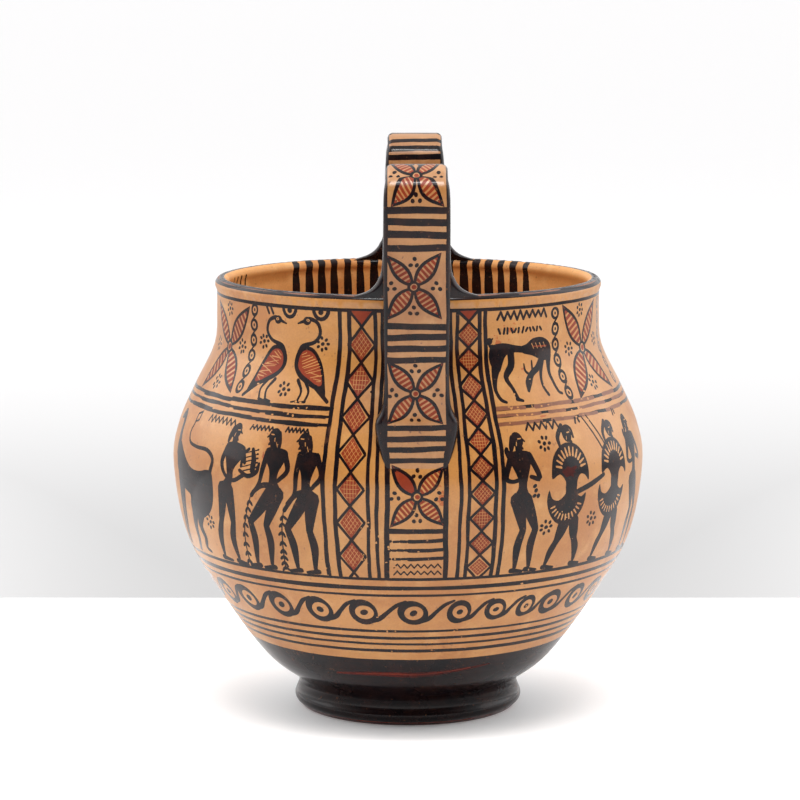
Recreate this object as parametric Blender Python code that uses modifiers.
"""A greek krater: a hollow wide-bellied bowl on a ring foot, with a rolled lip and two high strap handles.

The vessel is one fired piece. Metres, +Z up. The origin is the centre of the foot's resting face, and the
handles stand to the front (-Y) and the back (+Y).
"""

import math

import bmesh
import bpy

# Driving dimensions of the bowl
LIP_TOP = 0.2595
MOUTH_RADIUS = 0.1150
LIP_BEAD_RADIUS = 0.0040
LIP_BEAD_ENDS = (215, -45)
NECK_TOP_HEIGHT = 0.2519
NECK_RADIUS = 0.1139
NECK_HEIGHT = 0.2400
NECK_FOOT_RADIUS = 0.1155
NECK_FOOT_HEIGHT = 0.2195
SHOULDER_RADIUS = 0.1275
SHOULDER_HEIGHT = 0.1945
UPPER_BELLY_RADIUS = 0.1373
UPPER_BELLY_HEIGHT = 0.1718
BELLY_RADIUS = 0.1406
BELLY_HEIGHT = 0.1480
UPPER_BOWL_RADIUS = 0.1330
UPPER_BOWL_HEIGHT = 0.1063
LOWER_BOWL_RADIUS = 0.1128
LOWER_BOWL_HEIGHT = 0.0700
BOWL_BASE_RADIUS = 0.0868
BOWL_BASE_HEIGHT = 0.0340
WALL = 0.0060
FLOOR_THICKNESS = 0.0090

# Driving dimensions of the ring foot
FOOT_HEIGHT = 0.0165
FOOT_WAIST_RADIUS = 0.0645
FOOT_RADIUS = 0.0684
FOOT_WIDEST_HEIGHT = 0.0062
FOOT_ROUND = 0.0044
FOOT_ROUND_ENDS = (30, -60)
FOOT_REST_RADIUS = 0.0640
FOOT_REST_WIDTH = 0.0090
FOOT_RECESS = 0.0080

# Driving dimensions of the strap handles
STRAP_WIDTH = 0.0370
STRAP_TOP_WIDTH = 0.0345
STRAP_THICKNESS = 0.0090
STRAP_EDGE_RADIUS = 0.0036
ROOT_HEIGHT = 0.1880
ROOT_WIDTH = 0.0465
ROOT_FILLET = 0.0030
ROOT_TAIL = 0.0280
ROOT_TAIL_WIDTH = 0.0340
ROOT_TAIL_THICKNESS = 0.0036
LEG_LEAN = 0.0075
HANDLE_OFFSET = 0.0045
LIP_JOINT_HEIGHT = 0.0180
# Down a strap's joint with the lip: height as a share of the joint's, share of the widening, share of the
# thickness, and how far it wraps round the bowl
LIP_JOINT = (
    (1.0, 0.08, 1.0, 0.6),
    (0.5, 0.29, 1.0, 1.0),
    (0.25, 0.56, 0.96, 1.0),
    (0.1, 0.9, 0.89, 1.0),
    (0.01, 1.3, 0.73, 1.0),
    (-0.09, 1.9, 0.6, 1.0),
)
HANDLES = {
    "front": {"side": -1, "top": 0.3345, "lip_width": 0.0590},
    "back": {"side": 1, "top": 0.3370, "lip_width": 0.0620},
}

# How finely the round shapes are divided
BOWL_SIDES = 60
BOWL_STEPS = 2
LIP_STEPS = 9
FOOT_STEPS = 4
STRAP_STEPS = 3
EDGE_STEPS = 3

CLAY_COLOUR = (0.66, 0.37, 0.16, 1.0)
CLAY_ROUGHNESS = 0.42


def clear_scene():
    for obj in list(bpy.data.objects):
        bpy.data.objects.remove(obj, do_unlink=True)


def new_collection(name):
    collection = bpy.data.collections.new(name)
    bpy.context.scene.collection.children.link(collection)
    return collection


def new_material(name, colour, roughness):
    material = bpy.data.materials.new(name)
    material.use_nodes = True
    shader = material.node_tree.nodes["Principled BSDF"]
    shader.inputs["Base Color"].default_value = colour
    shader.inputs["Roughness"].default_value = roughness
    shader.inputs["Metallic"].default_value = 0.0
    return material


def smooth_line(stations, steps):
    """A smooth line through the stations, with this many steps between each two (Catmull-Rom)."""
    ends = [[2 * a - b for a, b in zip(stations[0], stations[1])]]
    ends += list(stations) + [[2 * a - b for a, b in zip(stations[-1], stations[-2])]]
    line = []
    for before, start, end, after in zip(ends, ends[1:], ends[2:], ends[3:]):
        for step in range(steps):
            t = step / steps
            point = []
            for a, b, c, d in zip(before, start, end, after):
                bend = (2 * a - 5 * b + 4 * c - d) * t + (3 * b - a - 3 * c + d) * t * t
                point.append(b + 0.5 * t * (c - a + bend))
            line.append(tuple(point))
    line.append(tuple(stations[-1]))
    return line


def arc(centre, radius, start, end, count):
    """Points along an arc about a centre, from one angle to another, in degrees."""
    angles = [math.radians(start + (end - start) * i / (count - 1)) for i in range(count)]
    return [(centre[0] + radius * math.cos(a), centre[1] + radius * math.sin(a)) for a in angles]


def bowl_stations():
    """The outside of the bowl as radius and height, from under the lip down to the foot."""
    return [
        (NECK_RADIUS, NECK_TOP_HEIGHT),
        (NECK_RADIUS, NECK_HEIGHT),
        (NECK_FOOT_RADIUS, NECK_FOOT_HEIGHT),
        (SHOULDER_RADIUS, SHOULDER_HEIGHT),
        (UPPER_BELLY_RADIUS, UPPER_BELLY_HEIGHT),
        (BELLY_RADIUS, BELLY_HEIGHT),
        (UPPER_BOWL_RADIUS, UPPER_BOWL_HEIGHT),
        (LOWER_BOWL_RADIUS, LOWER_BOWL_HEIGHT),
        (BOWL_BASE_RADIUS, BOWL_BASE_HEIGHT),
        (FOOT_WAIST_RADIUS, FOOT_HEIGHT),
    ]


def outer_radius(height):
    """The bowl's outer radius at a height."""
    line = smooth_line(bowl_stations(), BOWL_STEPS)
    for (r_high, z_high), (r_low, z_low) in zip(line, line[1:]):
        if z_low <= height <= z_high:
            return r_low + (r_high - r_low) * (height - z_low) / (z_high - z_low)
    return line[0][0]


def inner_wall():
    """The inside of the bowl from the floor's centre up to the lip: the outside, moved in by the wall."""
    line = smooth_line(bowl_stations(), BOWL_STEPS)
    inside = []
    for i, (radius, height) in enumerate(line):
        above, below = line[max(i - 1, 0)], line[min(i + 1, len(line) - 1)]
        run, rise = above[0] - below[0], above[1] - below[1]
        length = math.hypot(run, rise)
        inside.append((radius - WALL * rise / length, height + WALL * run / length))
    floor = FOOT_RECESS + FLOOR_THICKNESS
    floor_middle = (0.5 * inside[-1][0], floor + 0.25 * (inside[-1][1] - floor))
    return [(0.0, floor), floor_middle] + inside[::-1]


def vessel_outline():
    """Half the vessel's section: up the inside, over the lip, down the outside and under the foot."""
    lip_centre = (MOUTH_RADIUS - LIP_BEAD_RADIUS, LIP_TOP - LIP_BEAD_RADIUS)
    lip = arc(lip_centre, LIP_BEAD_RADIUS, *LIP_BEAD_ENDS, LIP_STEPS)
    foot_centre = (FOOT_RADIUS - FOOT_ROUND, FOOT_WIDEST_HEIGHT)
    foot = arc(foot_centre, FOOT_ROUND, *FOOT_ROUND_ENDS, FOOT_STEPS)
    rest_inner = FOOT_REST_RADIUS - FOOT_REST_WIDTH
    underside = [
        (FOOT_REST_RADIUS, 0.0),
        (rest_inner, 0.0),
        (rest_inner - 0.25 * FOOT_RECESS, 0.75 * FOOT_RECESS),
        (rest_inner - 0.75 * FOOT_RECESS, FOOT_RECESS),
        (0.0, FOOT_RECESS),
    ]
    return inner_wall() + lip + smooth_line(bowl_stations(), BOWL_STEPS) + foot + underside


def turned(name, outline, collection):
    """A shape turned about the Z axis from half its section."""
    mesh = bpy.data.meshes.new(name)
    edges = [(i, i + 1) for i in range(len(outline) - 1)]
    mesh.from_pydata([(r, 0.0, z) for r, z in outline], edges, [])
    obj = bpy.data.objects.new(name, mesh)
    collection.objects.link(obj)
    screw = obj.modifiers.new("turn", "SCREW")
    screw.axis = "Z"
    screw.angle = math.tau
    screw.steps = BOWL_SIDES
    screw.render_steps = BOWL_SIDES
    screw.use_merge_vertices = True
    screw.merge_threshold = 0.00001
    return obj


def strap_stations(top, lip_width):
    """The strap's middle line from the bowl's wall, over the arch, to the lip.

    Each station is outward distance, height, width, thickness, and how far it wraps round the bowl (0 to 1).
    """
    leg = outer_radius(ROOT_HEIGHT) + 0.5 * STRAP_THICKNESS
    tail_height = ROOT_HEIGHT - ROOT_TAIL
    lip = MOUTH_RADIUS - LIP_BEAD_RADIUS
    arch_outer = leg + LEG_LEAN
    arch_middle = 0.5 * (arch_outer + lip)
    arch_radius = 0.5 * (arch_outer - lip)
    arch_foot = top - 0.5 * STRAP_THICKNESS - arch_radius
    arch = arc((arch_middle, arch_foot), arch_radius, 0, 180, 5)
    leg_middle = 0.5 * (ROOT_HEIGHT + arch_foot) + 0.3 * ROOT_TAIL
    flare = lip_width - STRAP_WIDTH
    stations = [
        (outer_radius(tail_height) - 0.5 * WALL, tail_height, ROOT_TAIL_WIDTH, ROOT_TAIL_THICKNESS, 1.0),
        (leg - 0.5 * ROOT_FILLET, ROOT_HEIGHT, ROOT_WIDTH, STRAP_THICKNESS + ROOT_FILLET, 1.0),
        (leg, ROOT_HEIGHT + 0.6 * ROOT_TAIL, STRAP_WIDTH, STRAP_THICKNESS, 0.3),
        (leg + 0.5 * LEG_LEAN, leg_middle, STRAP_WIDTH, STRAP_THICKNESS, 0.0),
        (*arch[0], STRAP_WIDTH, STRAP_THICKNESS, 0.0),
        (*arch[1], STRAP_TOP_WIDTH, STRAP_THICKNESS, 0.0),
        (*arch[2], STRAP_TOP_WIDTH, STRAP_THICKNESS, 0.0),
        (*arch[3], STRAP_TOP_WIDTH, STRAP_THICKNESS, 0.0),
        (*arch[4], STRAP_WIDTH, STRAP_THICKNESS, 0.1),
    ]
    for rise, widening, thickness, wrap in LIP_JOINT:
        height = LIP_TOP + rise * LIP_JOINT_HEIGHT
        width = STRAP_WIDTH + widening * flare
        stations.append((lip, height, width, thickness * STRAP_THICKNESS, wrap))
    return stations


def strap_section(width, thickness):
    """A flat section with rounded edges, as points across the strap and through it."""
    edge = min(STRAP_EDGE_RADIUS, 0.45 * thickness)
    across, through = 0.5 * width - edge, 0.5 * thickness - edge
    flats = [across * f for f in (-0.5, 0.0, 0.5)]
    ring = [(x, 0.5 * thickness) for x in flats]
    ring += arc((across, through), edge, 90, 0, EDGE_STEPS)
    ring += arc((across, -through), edge, 0, -90, EDGE_STEPS)
    ring += [(x, -0.5 * thickness) for x in reversed(flats)]
    ring += arc((-across, -through), edge, 270, 180, EDGE_STEPS)
    ring += arc((-across, through), edge, 180, 90, EDGE_STEPS)
    return ring


def strap_handle(name, side, top, lip_width, collection):
    """One strap handle, lofted through its sections and closed at both ends."""
    line = smooth_line(strap_stations(top, lip_width), STRAP_STEPS)
    bm = bmesh.new()
    rings = []
    for i, (outward, height, width, thickness, wrap) in enumerate(line):
        before, after = line[max(i - 1, 0)], line[min(i + 1, len(line) - 1)]
        run, rise = after[0] - before[0], after[1] - before[1]
        length = math.hypot(run, rise)
        ring = []
        for across, through in strap_section(width, thickness):
            x = HANDLE_OFFSET + across
            radius = outward + through * rise / length
            wrapped = math.sqrt(radius * radius - x * x)
            y = side * (radius + wrap * (wrapped - radius))
            ring.append(bm.verts.new((x, y, height - through * run / length)))
        rings.append(ring)
    for ring, following in zip(rings, rings[1:]):
        for i in range(len(ring)):
            j = (i + 1) % len(ring)
            bm.faces.new((ring[i], ring[j], following[j], following[i]))
    bm.faces.new(rings[0])
    bm.faces.new(rings[-1])
    bmesh.ops.recalc_face_normals(bm, faces=bm.faces)
    mesh = bpy.data.meshes.new(name)
    bm.to_mesh(mesh)
    bm.free()
    obj = bpy.data.objects.new(name, mesh)
    obj.hide_render = True
    obj.display_type = "WIRE"
    collection.objects.link(obj)
    return obj


def join(vessel, handle):
    union = vessel.modifiers.new("join " + handle.name, "BOOLEAN")
    union.operation = "UNION"
    union.solver = "EXACT"
    union.object = handle


def main():
    clear_scene()
    krater_parts = new_collection("greek_krater")
    helpers = new_collection("krater_handle_shapes")
    vessel = turned("krater", vessel_outline(), krater_parts)
    for place, handle in HANDLES.items():
        shape = strap_handle(
            "handle_" + place, handle["side"], handle["top"], handle["lip_width"], helpers
        )
        join(vessel, shape)
    vessel.data.materials.append(new_material("painted_clay", CLAY_COLOUR, CLAY_ROUGHNESS))
    vessel.data.shade_smooth()
    vessel.data.set_sharp_from_angle(angle=math.radians(40))


main()
